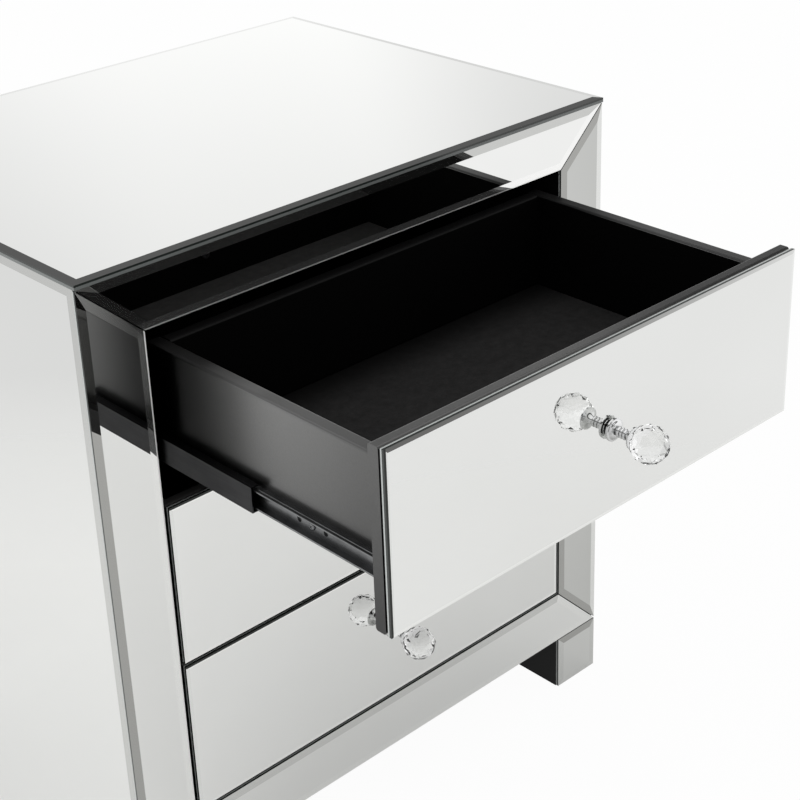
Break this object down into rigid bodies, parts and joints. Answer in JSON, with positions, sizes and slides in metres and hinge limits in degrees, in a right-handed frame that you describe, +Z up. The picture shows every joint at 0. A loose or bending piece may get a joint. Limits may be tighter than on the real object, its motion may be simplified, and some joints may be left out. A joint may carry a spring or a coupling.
{
  "type": "mirrored accent chest",
  "caption": "Mirror-clad bedside chest with drawers that pull out on telescopic ball-bearing slides by cut-crystal knobs, the top drawer standing open.",
  "frame": {"origin": "on the floor, at the middle of the box round the chest with its top drawer pulled out", "axes": "+X to the right along the front as a person facing it sees it, +Y from the front to the back, +Z up"},
  "size_m": [0.56, 0.7294, 0.616],
  "materials": {
    "mirror": "bright silvered plate glass with ground and polished bevels",
    "black_paint": "fibreboard sprayed in satin black",
    "back_panel": "thin fibreboard painted matt black",
    "drawer_paint": "fibreboard sprayed in satin dark grey",
    "slide_steel": "zinc-plated rolled steel",
    "cage_steel": "bright pressed steel with polished balls",
    "chrome": "polished chrome plate",
    "crystal": "clear cut crystal with polished facets"
  },
  "bodies": {
    "carcass": {"top_mirror": "mirror", "left_mirror": "mirror", "right_mirror": "mirror", "left_stile_mirror": "mirror", "right_stile_mirror": "mirror", "top_rail_mirror": "mirror", "bottom_rail_mirror": "mirror", "left_foot_mirror": "mirror", "right_foot_mirror": "mirror", "top_board": "black_paint", "bottom_board": "black_paint", "left_side_board": "black_paint", "right_side_board": "black_paint", "left_liner": "black_paint", "right_liner": "black_paint", "left_stile": "black_paint", "right_stile": "black_paint", "top_rail": "black_paint", "bottom_rail": "black_paint", "back_panel": "back_panel", "cabinet_screws": "slide_steel", "drawer_1_cabinet_rails": "slide_steel", "drawer_2_cabinet_rails": "slide_steel", "drawer_3_cabinet_rails": "slide_steel"},
    "drawer_1": {"drawer_1_front_mirror": "mirror", "drawer_1_front_board": "drawer_paint", "drawer_1_left_side": "drawer_paint", "drawer_1_right_side": "drawer_paint", "drawer_1_back": "drawer_paint", "drawer_1_base": "drawer_paint", "drawer_1_crystal_knob": "crystal", "drawer_1_knob_stem": "chrome", "drawer_1_screws": "slide_steel", "drawer_1_drawer_rails": "slide_steel"},
    "middle_rails_1": {"drawer_1_middle_rails": "slide_steel"},
    "ball_cages_1": {"drawer_1_ball_cages": "cage_steel"},
    "drawer_2": {"drawer_2_front_mirror": "mirror", "drawer_2_front_board": "drawer_paint", "drawer_2_left_side": "drawer_paint", "drawer_2_right_side": "drawer_paint", "drawer_2_back": "drawer_paint", "drawer_2_base": "drawer_paint", "drawer_2_crystal_knob": "crystal", "drawer_2_knob_stem": "chrome", "drawer_2_screws": "slide_steel", "drawer_2_drawer_rails": "slide_steel"},
    "middle_rails_2": {"drawer_2_middle_rails": "slide_steel"},
    "ball_cages_2": {"drawer_2_ball_cages": "cage_steel"},
    "drawer_3": {"drawer_3_front_mirror": "mirror", "drawer_3_front_board": "drawer_paint", "drawer_3_left_side": "drawer_paint", "drawer_3_right_side": "drawer_paint", "drawer_3_back": "drawer_paint", "drawer_3_base": "drawer_paint", "drawer_3_crystal_knob": "crystal", "drawer_3_knob_stem": "chrome", "drawer_3_screws": "slide_steel", "drawer_3_drawer_rails": "slide_steel"},
    "middle_rails_3": {"drawer_3_middle_rails": "slide_steel"},
    "ball_cages_3": {"drawer_3_ball_cages": "cage_steel"}
  },
  "joints": [
    {"name": "drawer_1_slide", "type": "slide", "parent": "carcass", "child": "drawer_1", "axis": [0, -1, 0], "range_m": [-0.25, 0]},
    {"name": "middle_rails_1_slide", "type": "slide", "parent": "carcass", "child": "middle_rails_1", "axis": [0, -1, 0], "range_m": [-0.125, 0]},
    {"name": "ball_cages_1_slide", "type": "slide", "parent": "carcass", "child": "ball_cages_1", "axis": [0, -1, 0], "range_m": [-0.1875, 0]},
    {"name": "drawer_2_slide", "type": "slide", "parent": "carcass", "child": "drawer_2", "axis": [0, -1, 0], "range_m": [0, 0.25]},
    {"name": "middle_rails_2_slide", "type": "slide", "parent": "carcass", "child": "middle_rails_2", "axis": [0, -1, 0], "range_m": [0, 0.125]},
    {"name": "ball_cages_2_slide", "type": "slide", "parent": "carcass", "child": "ball_cages_2", "axis": [0, -1, 0], "range_m": [0, 0.1875]},
    {"name": "drawer_3_slide", "type": "slide", "parent": "carcass", "child": "drawer_3", "axis": [0, -1, 0], "range_m": [0, 0.25]},
    {"name": "middle_rails_3_slide", "type": "slide", "parent": "carcass", "child": "middle_rails_3", "axis": [0, -1, 0], "range_m": [0, 0.125]},
    {"name": "ball_cages_3_slide", "type": "slide", "parent": "carcass", "child": "ball_cages_3", "axis": [0, -1, 0], "range_m": [0, 0.1875]}
  ],
  "couplings": [
    {"joint": "middle_rails_1_slide", "follows": "drawer_1_slide", "ratio": 0.5},
    {"joint": "ball_cages_1_slide", "follows": "drawer_1_slide", "ratio": 0.75},
    {"joint": "middle_rails_2_slide", "follows": "drawer_2_slide", "ratio": 0.5},
    {"joint": "ball_cages_2_slide", "follows": "drawer_2_slide", "ratio": 0.75},
    {"joint": "middle_rails_3_slide", "follows": "drawer_3_slide", "ratio": 0.5},
    {"joint": "ball_cages_3_slide", "follows": "drawer_3_slide", "ratio": 0.75}
  ]
}
